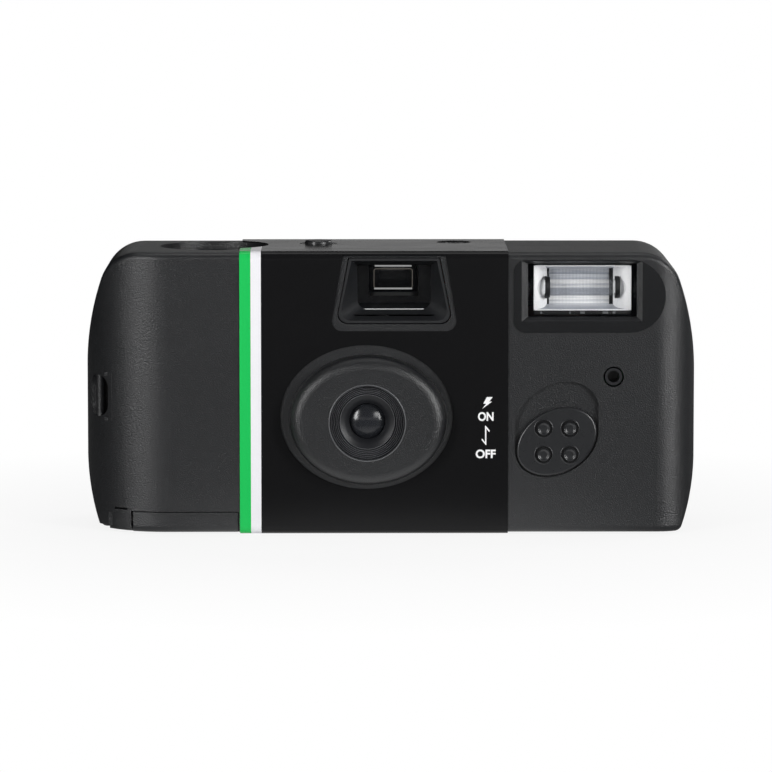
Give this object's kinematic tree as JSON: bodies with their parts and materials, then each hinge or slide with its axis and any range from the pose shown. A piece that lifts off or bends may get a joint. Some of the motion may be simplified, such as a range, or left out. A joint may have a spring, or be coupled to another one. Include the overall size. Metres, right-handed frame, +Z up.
{
  "type": "disposable film camera",
  "caption": "Single-use film camera with a built-in flash: moulded case in a wrap-round label, domed lens surround, viewfinder, sliding flash switch, thumbwheel and frame counter.",
  "frame": {"origin": "under the middle of the camera's bounding box, on the plane that it stands on", "axes": "+X to the right as seen from the front, along the longest side; -Y is the way the lens looks; +Z up"},
  "size_m": [0.11, 0.0344, 0.0516],
  "materials": {
    "case": "fine moulded grain, charcoal",
    "label": "laminated print: glossy black with a green and a white stripe",
    "chassis": "dead black moulding",
    "trim": "smooth black moulding",
    "clear": "clear moulded lens and window plastic",
    "blackened": "blackened sheet",
    "steel": "stamped sheet",
    "spring_wire": "spring wire",
    "contact_metal": "plated contact strip",
    "dial": "white disc with printed numbers",
    "gear_plastic": "black moulding",
    "light_plastic": "grey moulding",
    "cartridge_tin": "lacquered tin plate",
    "felt": "black plush",
    "film": "film, darker on the back",
    "reflector": "bright formed sheet, ribbed inside",
    "lamp_glass": "glass tube",
    "boot_rubber": "black sleeve",
    "board": "printed circuit board with solder mask",
    "winding": "taped winding",
    "component_black": "moulded body",
    "capacitor_sleeve": "shrunk sleeve",
    "cell_jacket": "printed jacket, bare ends",
    "pipe": "tinted clear light pipe"
  },
  "bodies": {
    "camera": {"front_cover": "case", "rear_cover": "case", "label_wrap": "label", "main_chassis": "chassis", "lens_mount": "chassis", "lens_retainer": "trim", "taking_lens": "clear", "aperture_plate": "blackened", "striker_spring": "spring_wire", "viewfinder_tunnel": "chassis", "viewfinder_front_lens": "clear", "viewfinder_eyepiece": "clear", "counter_window": "clear", "cartridge_shell": "cartridge_tin", "cartridge_caps": "cartridge_tin", "cartridge_felt": "felt", "film_strip": "film", "pressure_plate": "blackened", "ratchet_pawl": "steel", "button_spring": "spring_wire", "flash_window": "clear", "flash_reflector": "reflector", "flash_tube": "lamp_glass", "flash_tube_boots": "boot_rubber", "counter_pawl": "steel", "flash_board": "board", "transformer": "winding", "trigger_coil": "winding", "transistor": "component_black", "board_resistors": "component_black", "main_capacitor": "capacitor_sleeve", "charge_lamp": "lamp_glass", "board_post": "trim", "switch_contact": "contact_metal", "sync_contact": "contact_metal", "battery": "cell_jacket", "battery_contact_positive": "contact_metal", "battery_contact_negative": "contact_metal"},
    "advance": {"thumbwheel": "gear_plastic", "cartridge_spool": "light_plastic", "spool_film": "film"},
    "sprocket": {"sprocket_wheel": "gear_plastic"},
    "counter": {"counter_dial": "dial"},
    "supply": {"supply_spool": "light_plastic", "film_roll": "film"},
    "button": {"shutter_button": "trim"},
    "striker": {"striker_lever": "steel"},
    "blade": {"shutter_blade": "blackened"},
    "flash_switch": {"flash_switch_knob": "trim", "switch_slide": "light_plastic", "light_pipe": "pipe"},
    "door": {"cartridge_door": "case"}
  },
  "joints": [
    {"name": "thumbwheel_spin", "type": "hinge", "parent": "camera", "child": "advance", "pos_m": [-0.0382, 0.0029, 0], "axis": [0, 0, 1], "continuous": true},
    {"name": "sprocket_spin", "type": "hinge", "parent": "camera", "child": "sprocket", "pos_m": [-0.0188, 0.007, 0], "axis": [0, 0, 1], "continuous": true},
    {"name": "counter_spin", "type": "hinge", "parent": "camera", "child": "counter", "pos_m": [-0.03205, 0.0034, 0], "axis": [0, 0, 1], "continuous": true},
    {"name": "supply_spin", "type": "hinge", "parent": "camera", "child": "supply", "pos_m": [0.03, 0.004, 0], "axis": [0, 0, 1], "continuous": true},
    {"name": "shutter_press", "type": "slide", "parent": "camera", "child": "button", "axis": [0, 0, -1], "range_m": [0, 0.0016], "stiffness_N_per_m": 1000, "springref_m": -0.001, "deforming": ["button_spring"]},
    {"name": "striker_swing", "type": "hinge", "parent": "camera", "child": "striker", "pos_m": [-0.005, -0.003, 0], "axis": [0, 0, 1], "range_deg": [0, 30]},
    {"name": "blade_swing", "type": "hinge", "parent": "camera", "child": "blade", "pos_m": [0.0032, -0.011, 0.028], "axis": [0, 1, 0], "range_deg": [0, 36]},
    {"name": "flash_switch_slide", "type": "slide", "parent": "camera", "child": "flash_switch", "axis": [0, 0, 1], "range_m": [0, 0.0043]},
    {"name": "door_hinge", "type": "hinge", "parent": "camera", "child": "door", "pos_m": [-0.0246, 0, 0.001], "axis": [0, -1, 0], "range_deg": [0, 100]}
  ],
  "couplings": [
    {"joint": "sprocket_spin", "follows": "thumbwheel_spin", "ratio": 1.5},
    {"joint": "counter_spin", "follows": "thumbwheel_spin", "ratio": -0.05},
    {"joint": "supply_spin", "follows": "thumbwheel_spin", "ratio": 1.25},
    {"joint": "striker_swing", "follows": "shutter_press", "rad_per_m": 327},
    {"joint": "blade_swing", "follows": "shutter_press", "rad_per_m": 392}
  ]
}
